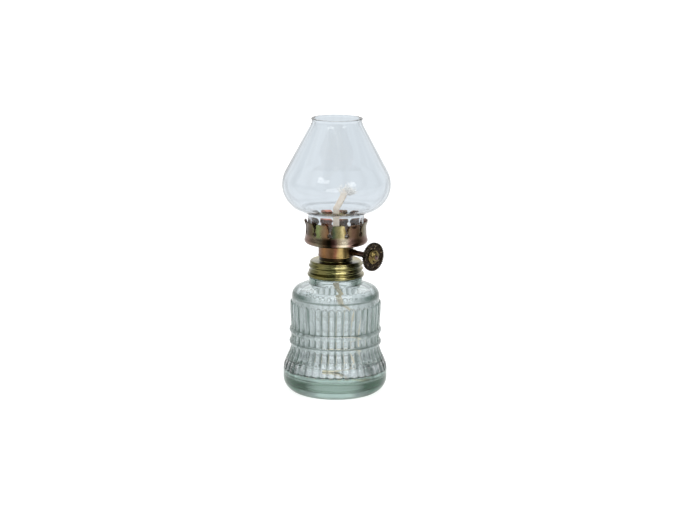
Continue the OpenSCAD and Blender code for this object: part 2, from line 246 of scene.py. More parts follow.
# ---------------------------------------------------------------- material helpers
class Shader:
    """A node tree with short calls: the name of a socket in words, and a value or a link."""

    def __init__(self, name, world=False):
        holder = bpy.data.worlds.new(name) if world else bpy.data.materials.new(name)
        holder.use_nodes = True
        self.holder, self.tree = holder, holder.node_tree
        self.tree.nodes.clear()

    def add(self, kind, sockets=(), **settings):
        n = self.tree.nodes.new("ShaderNode" + kind)
        for key, value in settings.items():
            setattr(n, key, value)
        for key, value in dict(sockets).items():
            socket = n.inputs[key]
            if isinstance(value, bpy.types.NodeSocket):
                self.tree.links.new(value, socket)
            else:
                socket.default_value = value
        return n

    def math(self, operation, a, b=0.0):
        return self.add("Math", {0: a, 1: b}, operation=operation).outputs[0]

    def times(self, a, b):
        return self.math("MULTIPLY", a, b)

    def larger(self, a, b):
        return self.math("MAXIMUM", a, b)

    def multiply_add(self, a, b, c):
        return self.add("Math", {0: a, 1: b, 2: c}, operation="MULTIPLY_ADD").outputs[0]

    def mix(self, factor, a, b, blend="MIX"):
        n = self.add("Mix", {0: factor, 6: a, 7: b}, data_type="RGBA", blend_type=blend)
        return n.outputs[2]

    def ramp(self, factor, stops):
        n = self.add("ValToRGB", {0: factor})
        elements = n.color_ramp.elements
        elements[0].position, elements[1].position = stops[0][0], stops[-1][0]
        elements[0].color, elements[1].color = grey(stops[0][1]), grey(stops[-1][1])
        for position, colour in stops[1:-1]:
            elements.new(position).color = grey(colour)
        return n.outputs[0]

    def step(self, value, start, end):
        """0 where the value is at start, 1 where it is at end, and smooth between."""
        n = self.add("MapRange", {"Value": value, 1: start, 2: end}, interpolation_type="SMOOTHSTEP")
        return n.outputs[0]

    def rise(self, height, start, end):
        """The same for a height in metres, with start and end in millimetres."""
        return self.step(height, start * MM, end * MM)

    def noise(self, where, scale, detail=3.0, roughness=0.55):
        n = self.add("TexNoise", {"Vector": where, "Scale": scale, "Detail": detail,
                                  "Roughness": roughness})
        return n.outputs[0]

    def place(self, turn=0.0, stretch=(1, 1, 1)):
        """Coordinates in metres, fixed to the piece, turned about Z and stretched."""
        coordinates = self.add("TexCoord").outputs["Object"]
        return self.add("Mapping", {"Vector": coordinates, "Rotation": (0, 0, turn),
                                    "Scale": stretch}).outputs[0]

    def bump(self, height, strength, distance):
        return self.add("Bump", {"Height": height, "Strength": strength,
                                 "Distance": distance}).outputs[0]

    def end(self, surface, volume=None):
        sockets = {"Surface": surface}
        if volume:
            sockets["Volume"] = volume
        self.add("OutputWorld" if isinstance(self.holder, bpy.types.World) else "OutputMaterial",
                 sockets)
        return self.holder


def grey(colour):
    """A colour from one number, three or four."""
    if isinstance(colour, (int, float)):
        return (colour, colour, colour, 1)
    return (*colour, 1) if len(colour) == 3 else tuple(colour)


def srgb(r, g, b):
    """A colour written as 0 to 255 on the screen."""
    return tuple(((c / 255 + 0.055) / 1.055) ** 2.4 if c > 10 else c / 3294.6 for c in (r, g, b))


def tints(*stops):
    """Ramp stops from (place, red, green, blue), the colours as on the screen."""
    return [(place, srgb(*colour)) for place, *colour in stops]


def glass(name, tint, absorbed, density, ripple, ripple_scale, skin=None):
    """Clear glass with faint ripples and a handled surface; lamps shine through it.

    skin(shader, where) gives the surface's tint, painted shade included, and a roughness to add, where
    it has them.
    """
    s = Shader(name)
    where = s.place()
    swell = s.noise(where, ripple_scale, 1.5)
    touched = s.noise(s.place(stretch=(1, 1, 0.4)), 420, 4.0)
    colour, rough = grey(tint), s.ramp(touched, [(0.5, 0.0), (0.8, 0.035)])
    if skin:
        colour, frost = skin(s, where)
        rough = s.math("ADD", rough, frost)
    body = s.add("BsdfPrincipled", {
        "Base Color": colour, "IOR": 1.5, "Transmission Weight": 1.0, "Roughness": rough,
        "Normal": s.bump(swell, 1.0, ripple)}).outputs[0]
    lamp = s.add("BsdfTransparent", {"Color": grey(tint)}).outputs[0]
    shadow = s.add("LightPath").outputs["Is Shadow Ray"]
    surface = s.add("MixShader", {0: shadow, 1: body, 2: lamp}).outputs[0]
    volume = s.add("VolumeAbsorption", {"Color": grey(absorbed), "Density": density}).outputs[0]
    return s.end(surface, volume)


def plated(name, stops, drift=0.05, roughness=(0.16, 0.34), grain=0.00002, round_axis=True,
           shade=0.75, mottle=260, other=None):
    """Yellow-passivated steel: its tints drift round the piece, over a rolled grain. Where round_axis
    is set, the stops also hold painted highlights, reflections and shade, placed by the angle from the
    facing direction.

    other is a second band of tints and painted light, as (stops, height where it starts, height where
    it is full).
    """
    s = Shader(name)
    where = s.place(-FACING)
    cloud = s.noise(where, mottle, 3.0)
    if round_axis:
        part = s.add("SeparateXYZ", {0: where}).outputs
        place = s.multiply_add(s.math("ARCTAN2", part["Y"], part["X"]), 1 / TAU, 0.5)
        place = s.math("ADD", place, s.multiply_add(cloud, drift, -drift / 2))
    else:
        place = cloud
    tints_and_painted_light = s.ramp(place, stops)
    if other:
        other_stops, start, full = other
        height = s.add("SeparateXYZ", {0: where}).outputs["Z"]
        tints_and_painted_light = s.mix(s.rise(height, start, full), tints_and_painted_light, s.ramp(place, other_stops))
    fine = s.noise(s.place(stretch=(1, 1, 3)), 1500, 4.0, 0.7)
    dirt = s.ramp(s.noise(where, 520, 5.0, 0.65), [(0.3, shade), (0.6, 1.0)])
    colour = s.mix(1.0, tints_and_painted_light, dirt, "MULTIPLY")
    rough = s.ramp(s.noise(where, 340, 4.0), [(0.3, roughness[0]), (0.75, roughness[1])])
    body = s.add("BsdfPrincipled", {
        "Base Color": colour, "Metallic": 1.0, "Roughness": rough,
        "Normal": s.bump(fine, 0.35, grain)}).outputs[0]
    return s.end(body)


# Tints of the yellow passivation and of the highlights, reflections and shade painted on it, roughly
# from light to dark
CREAM = srgb(253, 240, 212)
BUFF = srgb(222, 202, 170)
PALE_GOLD = srgb(214, 198, 146)
GOLD = srgb(214, 186, 122)
ROSE = srgb(232, 150, 126)
PINK = srgb(200, 130, 108)
BLUSH = srgb(190, 156, 142)
AMBER = srgb(190, 150, 92)
STRAW = srgb(181, 172, 119)
BRASS = srgb(170, 155, 95)
COPPER = srgb(170, 130, 80)
MAUVE = srgb(150, 120, 104)
SAND = srgb(144, 140, 117)
SAGE = srgb(142, 134, 92)
RUSSET = srgb(147, 98, 75)
TAN = srgb(144, 105, 67)
DUSK = srgb(130, 102, 91)
BRONZE = srgb(128, 110, 65)
KHAKI = srgb(122, 103, 79)
GREEN = srgb(120, 132, 86)
OLIVE = srgb(122, 116, 70)
ASH = srgb(118, 111, 91)
CINNAMON = srgb(122, 92, 66)
COCOA = srgb(110, 84, 68)
BROWN = srgb(101, 74, 50)
MOSS = srgb(99, 98, 62)
LICHEN = srgb(92, 90, 72)
DRAB = srgb(91, 79, 56)
FERN = srgb(86, 86, 51)
UMBER = srgb(70, 54, 37)
TEAL = srgb(66, 78, 60)
PLUM = srgb(74, 48, 43)
PINE = srgb(54, 56, 36)
BLACK = srgb(23, 19, 11)


# ---------------------------------------------------------------- camera
DISTANCE, EYE_HEIGHT = 0.971, 0.282
camera = bpy.data.objects.new("view", bpy.data.cameras.new("view"))
bpy.context.scene.collection.objects.link(camera)
camera.location = (DISTANCE * math.sin(AZIMUTH), -DISTANCE * math.cos(AZIMUTH), EYE_HEIGHT)
camera.data.sensor_width = 36
camera.data.lens = 104.6
camera.data.clip_start = 0.05
aim = Vector((0.00092, 0.00092, 0.071))
look = (aim - camera.location).to_track_quat("-Z", "Y").to_matrix().to_4x4()
roll = Matrix.Rotation(math.radians(0.47), 4, "Z")
camera.matrix_world = Matrix.Translation(camera.location) @ look @ roll
bpy.context.scene.camera = camera
bpy.context.scene.view_settings.view_transform = "Standard"
bpy.context.scene.cycles.max_bounces = 48
bpy.context.scene.cycles.transmission_bounces = 48
bpy.context.scene.cycles.glossy_bounces = 12


# ---------------------------------------------------------------- the wick and its tail
def woven_cotton(name, pale, soiled, shade):
    """Cotton with painted shade in its yarn gaps, and soft stains."""
    s = Shader(name)
    where = s.place()
    yarn = s.noise(where, 900, 5.0, 0.7)
    stain = s.noise(where, 160, 3.0)
    tone = s.mix(s.ramp(stain, [(0.35, 0.0), (0.7, 1.0)]), grey(pale), grey(soiled))
    tone = s.mix(s.ramp(yarn, [(0.35, 0.45), (0.6, 0.0)]), tone, grey(shade))
    return s.end(s.add("BsdfPrincipled", {
        "Base Color": tone, "Roughness": 0.92, "Sheen Weight": 0.35, "Sheen Roughness": 0.5,
        "Normal": s.bump(yarn, 0.8, 0.00012)}).outputs[0])


def loose_cotton():
    """Clean white yarn ends."""
    s = Shader("loose_cotton")
    yarn = s.noise(s.place(), 700, 4.0)
    tone = s.mix(yarn, grey(srgb(252, 251, 249)), grey(srgb(240, 237, 231)))
    return s.end(s.add("BsdfPrincipled", {
        "Base Color": tone, "Roughness": 0.95, "Sheen Weight": 0.8,
        "Normal": s.bump(yarn, 0.3, 0.00003)}).outputs[0])


cotton = woven_cotton("cotton", srgb(240, 228, 212), srgb(224, 209, 190), srgb(190, 170, 150))
# painted light: the tail's cotton is a lighter copy of the wick's, to make up for the dim light inside
# the glass
tail_cotton_painted_lighter = woven_cotton("tail_cotton_painted_lighter", srgb(255, 244, 224), srgb(248, 232, 206),
                           srgb(226, 204, 172))

CORDS, PICK = 8, 0.62  # warp cords across the wick, and the pitch of its weft


def woven(points, first, last, rings_per_mm=5, spread=0.0):
    """A flat woven strip of cords, each over and under the weft.

    first and last are where its width points at its ends, and spread widens its far end.
    """
    line = along([tuple(p) for p in curve_through(points, 8)], 1 / rings_per_mm)
    n, sides = len(line), 12 * CORDS
    first, last = Vector(first), Vector(last)
    total = sum((Vector(b) - Vector(a)).length for a, b in zip(line, line[1:]))
    verts, faces, done = [], [], 0.0
    for i, here in enumerate(line):
        here = Vector(here)
        ahead = Vector(line[min(i + 1, n - 1)]) - Vector(line[max(i - 1, 0)])
        done += (here - Vector(line[max(i - 1, 0)])).length
        ahead.normalize()
        wish = first + (last - first) * min(1, 2 * i / (n - 1))
        across = (wish - wish.dot(ahead) * ahead).normalized()
        up = ahead.cross(across)
        for k in range(sides):
            # round the flat section: u runs over the width and back
            a = TAU * k / sides
            u = max(-1, min(1, 1.08 * math.cos(a)))
            edge = math.sqrt(max(0, 1 - abs(u) ** 8))
            cord = (u + 1) / 2 * CORDS
            side = 1 if math.sin(a) >= 0 else -1
            lump = abs(math.sin(math.pi * cord)) ** 0.7
            over = math.cos(math.pi * (done / PICK + int(cord))) * side
            high = wick_t / 2 * (0.74 + 0.16 * lump + 0.1 * over * lump) * edge
            wide = wick_w / 2 * (0.985 + 0.015 * math.cos(TAU * done / PICK))
            wide *= 1 + spread * smooth((done / 2 - 0.8 * total) / (0.2 * total))
            verts.append(here + across * u * wide + up * side * high)
    for i in range(n - 1):
        for k in range(sides):
            m = (k + 1) % sides
            faces.append((i * sides + k, i * sides + m, (i + 1) * sides + m, (i + 1) * sides + k))
    faces += [tuple(range(sides)), tuple(range((n - 1) * sides, n * sides))]
    return verts, faces


# The tail's route below the wick, as in the CAD: it drifts to one side and lies on the floor
TAIL = [(0, 0, 0), (0.2, 0.2, -3), (0.8, 0.8, -6), (1.9, 1.9, -9), (3.4, 3.5, -12), (5, 5.3, -15),
        (6.4, 6.9, -18.4), (7.4, 8.1, -22), (8, 8.8, -26), (8.2, 9, -30), (7.9, 8.7, -34),
        (7, 7.8, -37.8), (5.6, 6.3, -41), (3.8, 4.4, -43.5), (1.7, 2.4, -45.2), (-0.6, 0.4, -46),
        (-3, -1.4, -46.3), (-5.6, -2.8, -46.3)]
tail_top = wick_low.z
tail_floor = base_t + wick_t / 2 + 0.1
tail_scale = (tail_top - tail_floor) / -TAIL[-1][2]
tail_line = [Vector((x, y, tail_top + z * tail_scale)) for x, y, z in TAIL]
tail = make("wick_tail_weave", woven(tail_line, (1, 0, 0), (0.75, -0.65, 0)), tail_cotton_painted_lighter, 80)
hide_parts("wick_tail")
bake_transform(tail)

# The wick stands straight up to a little above the burner, then leans towards the knob
lean_x = wick_lean / math.sqrt(2)
bend_z = tube_high.z + 0.45 * wick_out + 1
woven_top_z = wick_high.z - 2.6  # the rest of the height is the tuft's
wick_line = [(0, 0, tail_top + (bend_z - tail_top) * k / 16) for k in range(17)]
wick_line += [(lean_x * k / 6, lean_x * k / 6, bend_z + (woven_top_z - bend_z) * k / 6)
              for k in range(1, 7)]
wick = make("wick_weave", woven(wick_line, (1, 0, 0), (1, 0, 0), spread=0.3), cotton, 80)
dress(wick, "wick", "cotton", "wick")


def yarn_end(here, go, bend, length, thick, steps=7, sides=5):
    """A thin tapering tube that starts at a point, sets off one way and bends another."""
    verts, faces = [], []
    for j in range(steps + 1):
        along_x = go.orthogonal().normalized()
        along_y = go.cross(along_x)
        width = thick * (1 - 0.6 * (j / steps) ** 3)
        for k in range(sides):
            a = TAU * k / sides
            verts.append(here + (along_x * math.cos(a) + along_y * math.sin(a)) * width)
        here = here + go * length / steps
        go = (go + bend * 0.22).normalized()
    for j in range(steps):
        for k in range(sides):
            m = (k + 1) % sides
            q = j * sides
            faces.append((q + k, q + m, q + sides + m, q + sides + k))
    faces += [tuple(range(sides)), tuple(range(len(verts) - sides, len(verts)))]
    return verts, faces


def frayed(count, seed):
    """Yarn ends that stand out of the wick's top and fall towards the knob."""
    rng = random.Random(seed)
    top = Vector(wick_line[-1])
    lead = (top - Vector(wick_line[-2])).normalized()
    aside = Vector((1, 1, 0)).normalized()
    verts, faces = [], []
    for _ in range(count):
        u, v = rng.uniform(-0.62, 0.62), rng.uniform(-0.42, 0.42)
        start = top - lead * rng.uniform(0.4, 2.4) + Vector((u * wick_w, v * wick_t, 0))
        go = (lead * rng.uniform(0.5, 1.0) + Vector((u, 0, 0)) * 0.8
              + aside * rng.uniform(-0.45, 1.5)
              + Vector([rng.gauss(0, 0.22) for _ in range(3)])).normalized()
        bend = (aside * rng.uniform(-0.1, 0.45) + Vector([rng.gauss(0, 0.35) for _ in range(3)])
                + Vector((0, 0, -0.2)))
        length, thick = rng.uniform(2.2, 5.6), rng.uniform(0.07, 0.14)
        end_verts, end_faces = yarn_end(start, go, bend, length, thick)
        base = len(verts)
        verts += end_verts
        faces += [tuple(base + i for i in face) for face in end_faces]
    return verts, faces


dress(make("wick_tuft", frayed(300, 11), loose_cotton(), 60), "wick", "cotton")


# ---------------------------------------------------------------- the glass font
# the clear glass, the colour of its painted shade and dark lines, and the colour of the painted shade
# on its foot
CLEAR, SHADE_AND_MARK_TINT, FOOT_SHADE_TINT = (0.99, 1.0, 0.995), (0.036, 0.088, 0.058), (0.006, 0.044, 0.018)
SKIN_FOOT_R, SKIN_WAIST_R = 24.0, 20.7  # what is farther out than this is the outer skin
NECK_MARK = 0.86  # angle from the photographed side to a mark on the neck


def outer_skin(s, part):
    """1 on the font's outer skin and neck ring, 0 on its inner wall."""
    across = s.add("CombineXYZ", {0: part["X"], 1: part["Y"]}).outputs[0]
    radius = s.add("VectorMath", {0: across}, operation="LENGTH").outputs["Value"]
    wall = s.add("MapRange", {"Value": part["Z"], 1: foot_h * MM, 2: flare_top * MM,
                              3: SKIN_FOOT_R * MM, 4: SKIN_WAIST_R * MM}).outputs[0]
    ring = s.times(s.math("GREATER_THAN", part["Z"], neck_z * MM),
                   s.math("GREATER_THAN", radius, (neck_ring_r - 0.4) * MM))
    return s.larger(s.math("GREATER_THAN", radius, wall), ring)


def reed_gap_shade(s, part, side_shade):
    """Painted shade: uneven dark lines between the reeds, stronger on the two sides, faint in front
    and on the low flare.
    """
    z = part["Z"]
    gaps = s.math("COSINE", s.times(s.math("ARCTAN2", part["Y"], part["X"]), float(rib_count)))
    reeds = s.times(s.rise(z, foot_h + 0.5, foot_h + 1.2), s.rise(z, rib_top_z + 0.3, rib_top_z - 0.7))
    uneven = s.step(s.noise(s.place(stretch=(1, 1, 0.12)), 190, 2.0), 0.35, 0.6)
    above_flare = s.rise(z, foot_h + 3.6, foot_h + 8.6)
    strength = s.times(s.multiply_add(s.larger(above_flare, side_shade), 0.6, 0.4),
                       s.multiply_add(side_shade, 0.3, 0.7))
    return s.times(s.times(s.step(gaps, 0.1, 0.95), reeds),
                   s.times(s.multiply_add(uneven, 0.65, 0.35), strength))


def painted_shade_lines(s, z):
    """Painted shade: thin dark lines round the font, under the shoulder and at the two beads."""
    dark = 0.0
    for line_z, half in ((shoulder_z - 0.1, 0.8), (upper_bead_z + bead_h / 2, 0.5),
                         (lower_bead_z + 0.6, 0.6)):
        off = s.math("ABSOLUTE", s.math("SUBTRACT", z, line_z * MM))
        dark = s.larger(dark, s.times(s.rise(off, half, half * 0.3), 0.85))
    return dark


def neck_marks(s, z, angle):
    """Two short thin dark upright lines on the neck."""
    off = s.math("ABSOLUTE", s.math("SUBTRACT", s.math("ABSOLUTE", angle), NECK_MARK))
    return s.times(s.step(off, 0.05, 0.02), s.rise(z, neck_z, neck_z + 0.4))


def pressed(s, where):
    """The font's tint, darkened by painted shade in lines, on its two sides and on its foot, and by
    two dark lines on the neck; and its added roughness.
    """
    part = s.add("SeparateXYZ", {0: where}).outputs
    z = part["Z"]
    outer = outer_skin(s, part)
    turned = s.add("SeparateXYZ", {0: s.place(-FACING)}).outputs
    angle = s.math("ARCTAN2", turned["Y"], turned["X"])
    # painted shade: the glass is darkened on its two sides, at right angles to the facing direction
    sides = s.math("COSINE", s.times(angle, 2.0))
    side_shade = s.step(sides, 0.85, -0.1)
    dome_foot = s.times(s.rise(z, shoulder_z - 0.3, shoulder_z + 0.5),
                        s.rise(z, shoulder_z + 3.4, shoulder_z + 2.2))
    flare_sides = s.times(s.step(sides, -0.1, -0.9), s.rise(z, flare_top + 0.5, flare_top - 3.5))
    cloud = s.step(s.noise(s.place(stretch=(1, 1, 0.3)), 330, 3.0), 0.45, 0.65)
    # painted shade: lines between the reeds and round the font, crescents at the shoulder's foot, the
    # flare's two sides and blotches along the two sides
    dark = reed_gap_shade(s, part, side_shade)
    for other in (painted_shade_lines(s, z), s.times(dome_foot, s.multiply_add(side_shade, 0.9, 0.03)),
                  s.times(flare_sides, 0.7), s.times(side_shade, s.multiply_add(cloud, 0.55, 0.2)),
                  neck_marks(s, z, angle)):
        dark = s.larger(dark, other)
    colour = s.mix(s.times(dark, outer), grey(CLEAR), grey(SHADE_AND_MARK_TINT))

    # painted shade on the foot: darkest on the two sides, darker towards the bottom, faint elsewhere
    foot = s.rise(z, foot_h - 1.2, foot_h - 2.6)
    foot_sides = s.times(s.step(sides, 0.9, 0.3), s.rise(z, 3.2, 5.5))
    foot_shade = s.larger(s.multiply_add(s.larger(side_shade, foot_sides), 0.86, 0.12),
                     s.times(s.rise(z, 4.5, 1.5), 0.5))
    colour = s.mix(s.times(foot, foot_shade), colour, grey(FOOT_SHADE_TINT))

    inner_haze = s.times(s.rise(z, shoulder_z + 1.9, shoulder_z - 0.1),
                         s.math("SUBTRACT", 1.0, outer))
    standing_ring = s.rise(z, 1.8, 1.3)
    return colour, s.math("ADD", s.times(inner_haze, 0.19), s.times(standing_ring, 0.3))


font_glass = glass("font_glass", CLEAR, (0.80, 0.885, 0.84), 50, 0.0001, 110, pressed)


def body_r(z):
    """Radius over the reeds, from the foot to the shoulder."""
    if z < flare_top:
        t = max(0, (z - foot_h) / (flare_top - foot_h))
        return waist_r + (foot_r - waist_r) * (1 + math.cos(math.pi * t)) / 2
    top = upper_bead_z + bead_h / 2
    return waist_r + (rib_top_r - waist_r) * min(1, max(0, (z - top) / (rib_top_z - 4 - top)))


HALF_GAP, REED_CROWN = 0.21, 0.32  # of a reed's pitch, and in millimetres


def reeded(r, z, a):
    """Outside, pressed reeds with rounded ends and two beads; inside, a faintly wavy wall."""
    if r < shoulder_r - 1.2 and base_t + 1 < z < neck_z:
        where = Vector((math.cos(a) * 1.3, math.sin(a) * 1.3, z * 0.07))
        return r + 0.14 * noise.noise(where), z
    if not (foot_h < z < shoulder_z and r > shoulder_r - 1):
        return r, z
    u = abs((a * rib_count / TAU + 0.5) % 1 - 0.5)  # 0 in a gap, 0.5 on a reed
    start = foot_h + 0.4 + 1.1 * (u / HALF_GAP) ** 2
    gap = math.cos(math.pi / 2 * min(1, u / HALF_GAP)) ** 2 * smooth((z - start) / 0.9)
    crown = REED_CROWN * (1 - 2 * u) ** 2 * smooth((z - foot_h) / 2)
    out = body_r(z) - rib_depth * gap - crown
    end = rib_top_z + 0.5 - 1.3 * (1 - 2 * u) ** 2
    out = shoulder_r + (out - shoulder_r) * smooth((end - z) / 0.7 + 0.5)
    for bead_z in (lower_bead_z, upper_bead_z):
        inside = (bead_h / 2) ** 2 - (z - bead_z) ** 2
        if inside > 0:
            bead = waist_r + bead_out - bead_h / 2 + math.sqrt(inside)
            out = soft_max(out, bead, 0.25)
    return out, z


dome = (shoulder_r - shoulder_round, shoulder_z)
# rows of points up the reeds, closer where their shape changes
reed_rows = along([(foot_r, foot_h), (foot_r, foot_h + 3)], 0.35)
reed_rows += along([(waist_r, foot_h + 3.6), (waist_r, lower_bead_z - 1.9)], 0.6)
reed_rows += along([(waist_r, lower_bead_z - 1.6), (waist_r, upper_bead_z + 1.7)], 0.22)
reed_rows += along([(waist_r, upper_bead_z + 2.3), (waist_r, rib_top_z - 2)], 0.7)
reed_rows += along([(rib_top_r, rib_top_z - 1.6), (rib_top_r, rib_top_z + 1.2)], 0.2)
outer_line = (
    [(0, recess_d), (recess_r * 0.5, recess_d)]
    + rounded([(recess_r * 0.5, recess_d), (recess_r - recess_d, recess_d, 0.5),
               (recess_r, 0, 0.3), (recess_r + 0.5, 0)])[1:-1]
    + arc((foot_r - foot_round, foot_round), foot_round, -90, 0, 14)
    + along([(foot_r, foot_round + 0.8), (foot_r, foot_h - 0.4)], 0.8)
    + reed_rows
    + arc(dome, shoulder_round, 0, 75, 12)
    + rounded([(shoulder_r - 3.2, shoulder_z + 5.4), (neck_ring_r, neck_z, 0.8),
               (neck_ring_r, neck_ring_top, 0.5),
               (neck_r, neck_ring_top, 0.3), (neck_r, font_h, 0.5),
               (neck_bore_r, font_h, 0.6), (neck_bore_r, font_h - 1)])[1:-1])
cavity_r, cavity_waist_r = shoulder_r - font_wall, waist_r - font_wall
cavity_foot_r = foot_r - foot_wall
inner_line = (
    along([(neck_bore_r, font_h - 1.5), (neck_bore_r, neck_z - 0.5)], 1.5)
    + rounded([(neck_bore_r, neck_z), (neck_bore_r, neck_z - 1.5, 1.2),
               (cavity_r - 1.6, shoulder_z + 1.9, 1.5), (cavity_r, shoulder_z - 0.5, 1.5),
               (cavity_r, rib_top_z - 0.4)], 6)[1:-1]
    + along([(cavity_r, rib_top_z - 0.4), (cavity_waist_r, flare_top + 1)], 1.6)
    + along(list(map(tuple, curve_through(
        [(cavity_waist_r, flare_top), (cavity_waist_r + 0.6, flare_top - 4),
         (cavity_foot_r - 0.25, foot_h + cavity_round + 1.2),
         (cavity_foot_r, base_t + cavity_round)], 5))), 1.6)
    + arc((cavity_foot_r - cavity_round, base_t + cavity_round), cavity_round, -8, -90, 10)
    + [(cavity_foot_r * 0.5, base_t + 0.15), (cavity_foot_r * 0.2, base_t + 0.3), (0, base_t + 0.3)])
font = make("font_reeded_glass", lathe(outer_line + inner_line, rib_count * 12, reeded, False),
            font_glass, 60)
dress(font, "font", "font_glass", "font")

# ---------------------------------------------------------------- the chimney
chimney_glass = glass("chimney_glass", (0.985, 0.993, 1.0), (0.82, 0.90, 0.93), 20, 0.00012, 45)
# centres of the neck's arc and the bulb's, how far apart they are, and the angle where the arcs meet
neck = (fitter_r + chimney_neck_round, gallery_top + 1.6)
apart = bulb_round + chimney_neck_round
bulb = (bulb_r - bulb_round, neck[1] + math.sqrt(apart ** 2 - (neck[0] - bulb_r + bulb_round) ** 2))
under = math.degrees(math.atan2(neck[1] - bulb[1], neck[0] - bulb[0]))
lip_foot_z = chimney_top - lip_h


def chimney_skin(d):
    """The chimney's outline from the foot to the lip, set in by d."""
    thin = min(d, chimney_neck_t)
    cone = [(lip_r + (lip_foot_z - z) * math.tan(cone_angle) - d / math.cos(cone_angle), z)
            for z in (bulb[1] + 8, lip_foot_z - 1.2)]
    lip = [(lip_r - d + 0.24, lip_foot_z - 0.3), (lip_r - d + 0.08, lip_foot_z + 0.3),
           (lip_r - d, lip_foot_z + 1)]
    return (along([(fitter_r - d, seat_z + 0.6), (fitter_r - thin, neck[1] - 0.3)], 1.5)
            + arc(neck, chimney_neck_round + thin, 180, under + 180, 8)
            + arc(bulb, bulb_round - d, under + 10, math.degrees(cone_angle), 40)
            + along(cone, 1.4) + lip)


bead_r = lip_r + 0.28
lip_bead = rounded([(lip_r, chimney_top - 1.1), (bead_r, chimney_top - 0.65, 0.2),
                    (bead_r, chimney_top, 0.45), (lip_r - chimney_t - 0.05, chimney_top, 0.5),
                    (lip_r - chimney_t, chimney_top - 1.1)], 5)
foot_edge = rounded([(fitter_r - chimney_t, seat_z + 1), (fitter_r - chimney_t, seat_z, 0.6),
                     (fitter_r, seat_z, 0.6), (fitter_r, seat_z + 1)], 5)[1:-1]


def blown(r, z, a):
    """Blown glass isn't quite round."""
    swell = smooth((z - neck[1]) / 12) * smooth((chimney_top - z) / 14)
    return r - 0.07 * swell * (1 + math.sin(2 * a + 0.7 + z * 0.02)), z


chimney = make("chimney_blown_glass",
               lathe(chimney_skin(0) + lip_bead + chimney_skin(chimney_t)[::-1] + foot_edge,
                     192, blown), chimney_glass, 60)
dress(chimney, "chimney", "chimney_glass", "chimney")

# ---------------------------------------------------------------- the screw collar
# the collar's tints by angle, with a painted highlight in the straw band near the facing direction and
# painted reflections, pale and dark, round it
collar_tints_and_painted_light = [
    (0.0, OLIVE), (0.12, BRASS), (0.26, SAND), (0.32, MOSS), (0.4, OLIVE), (0.45, MOSS),
    (0.475, FERN), (0.5, MOSS), (0.52, STRAW), (0.545, STRAW), (0.57, SAGE), (0.6, FERN),
    (0.62, PINE), (0.65, PINE), (0.7, SAND), (0.8, BRASS), (0.9, BROWN), (1.0, OLIVE)]
# painted shade: the collar is dark round its boss, in the groove under the drum
collar_boss_painted_shade = tints(
    (0.0, 60, 46, 30), (0.48, 30, 25, 14), (0.53, 70, 56, 34), (0.57, 34, 32, 18), (1.0, 60, 46, 30))
collar_metal = plated("collar_metal", collar_tints_and_painted_light, 0.10, roughness=(0.14, 0.28),
                      other=(collar_boss_painted_shade, collar_top + 0.2, collar_top + 0.5))


def threaded(r, z, a):
    """The right-handed thread rolled into the sheet, fading out at the rim and the top."""
    if r < collar_r - 1.3:
        return r, z
    turn = ((z - crest_z) / thread_pitch - (a + 3 * TAU / 8) / TAU) * TAU
    fade = smooth((z - collar_bottom - 1.5) / 0.9) * smooth((collar_top - 0.6 - z) / 0.9)
    return r + thread_out * fade * ((1 + math.cos(turn)) / 2) ** 1.4, z


def collar_skin(d):
    """The collar's outline from its rim to its boss, set in by d."""
    side = along([(collar_r - d, collar_bottom + 2.1), (collar_r - d, collar_top - 0.9)], 0.2)
    rim = arc((rim_r - 1, collar_bottom + 1), 1 - d, -100, 62, 10)
    top = (arc((collar_r - 0.8, collar_top - 0.8), 0.8 - d * 0.6, 10, 90, 5)
           + along([(collar_r - 1.4, collar_top - d), (collar_boss_r + 0.9 - d, collar_top - d)], 1)
           + arc((collar_boss_r + 0.6 - d, collar_top + 0.6 - d), 0.6, -90, -180, 4)
           + [(collar_boss_r - d, drum_z - 0.45 - d)])
    return rim + side + top


collar_line = (collar_skin(0)
               + rounded([(collar_boss_r, drum_z - 0.5), (collar_boss_r, drum_z, 0.2),
                          (throat_r, drum_z), (throat_r, drum_z - sheet_t)])[1:]
               + collar_skin(sheet_t)[::-1])
collar = make("collar_rolled_thread", lathe(collar_line, 192, threaded), collar_metal, 50)
dress(collar, "burner", "collar_metal", "screw_collar")

# ---------------------------------------------------------------- the drum
# the drum's tints by angle, with a painted highlight in the gold band and a painted reflection of the
# knob in the umber band
drum_tints_and_painted_light = [
    (0.0, COPPER), (0.15, TAN), (0.29, COCOA), (0.38, TAN), (0.42, CINNAMON), (0.455, BROWN),
    (0.475, BROWN), (0.5, RUSSET), (0.53, GOLD), (0.585, GOLD), (0.64, UMBER), (0.74, UMBER),
    (0.87, AMBER), (1.0, COPPER)]
drum_metal = plated("drum_metal", drum_tints_and_painted_light, 0.03, roughness=(0.28, 0.42))
drum_line = rounded([
    (drum_r - sheet_t, drum_z + sheet_t), (throat_r, drum_z + sheet_t), (throat_r, drum_z),
    (drum_r, drum_z, 0.3), (drum_r, drum_z + 0.7, 0.15), (drum_r - 0.12, drum_z + 0.95, 0.15),
    (drum_r - 0.1, gallery_z - 0.9, 0.15), (drum_r, gallery_z - 0.6, 0.15), (drum_r, gallery_z),
    (drum_r - sheet_t, gallery_z)])
drum = make("drum_shell", lathe(drum_line, 160), drum_metal, 50)
dress(drum, "burner", "drum_metal", "burner_drum")

